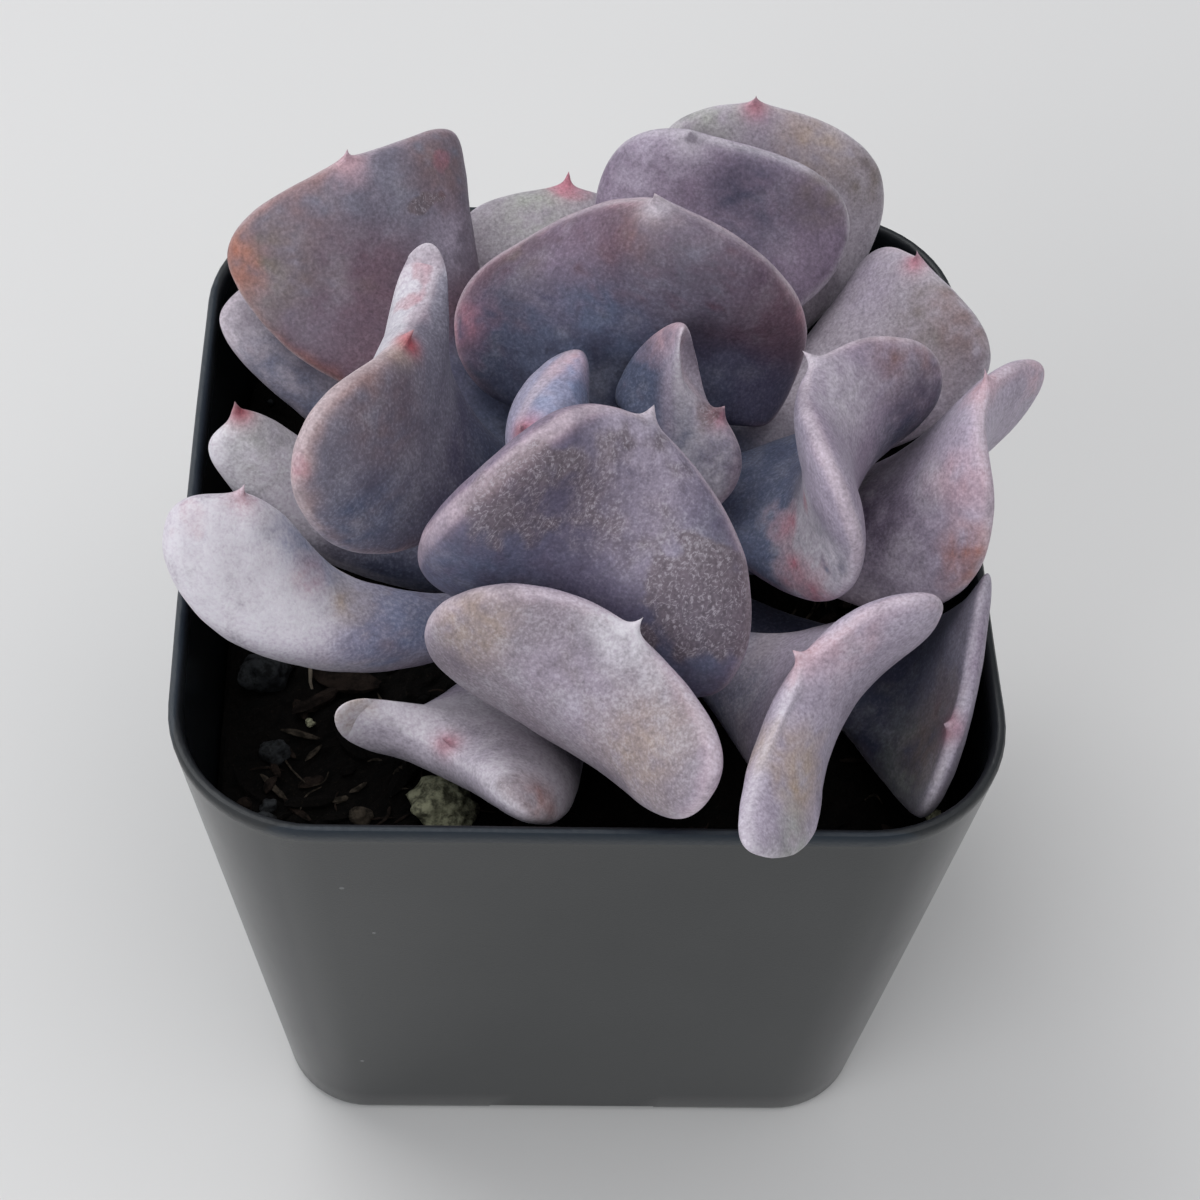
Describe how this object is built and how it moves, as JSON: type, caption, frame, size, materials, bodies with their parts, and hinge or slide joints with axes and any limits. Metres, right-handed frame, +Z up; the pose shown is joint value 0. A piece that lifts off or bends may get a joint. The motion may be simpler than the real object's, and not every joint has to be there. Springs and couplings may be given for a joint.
{
  "type": "potted succulent",
  "caption": "Potted echeveria: a rosette of thick folded lavender-grey leaves in a small square dark grey plastic nursery pot filled with peat.",
  "frame": {"origin": "centre of the pot's flat underside, where it rests on the table", "axes": "+Z up; -Y is the side facing the viewer in the picture, +X to the viewer's right"},
  "size_m": [0.0688, 0.0728, 0.0804],
  "materials": {
    "leaf_skin": "powdery, matte",
    "pot_plastic": "satin",
    "peat": "rough, crumbly",
    "stem_skin": "matte"
  },
  "bodies": {
    "root": {"pot": "pot_plastic", "soil": "peat", "stem": "stem_skin", "leaf_center_left": "leaf_skin", "leaf_center_right": "leaf_skin", "leaf_front_upper": "leaf_skin", "leaf_right_upper": "leaf_skin", "leaf_left_upper": "leaf_skin", "leaf_back_upper": "leaf_skin", "leaf_back_middle": "leaf_skin", "leaf_front_middle": "leaf_skin", "leaf_back_left": "leaf_skin", "leaf_left_outer": "leaf_skin", "leaf_right_outer": "leaf_skin", "leaf_front_right": "leaf_skin", "leaf_back_outer": "leaf_skin", "leaf_back_right": "leaf_skin", "leaf_back_low": "leaf_skin", "leaf_left_back": "leaf_skin", "leaf_front_low": "leaf_skin", "leaf_right_low": "leaf_skin", "leaf_left_low": "leaf_skin", "leaf_back_hidden": "leaf_skin"}
  },
  "joints": []
}
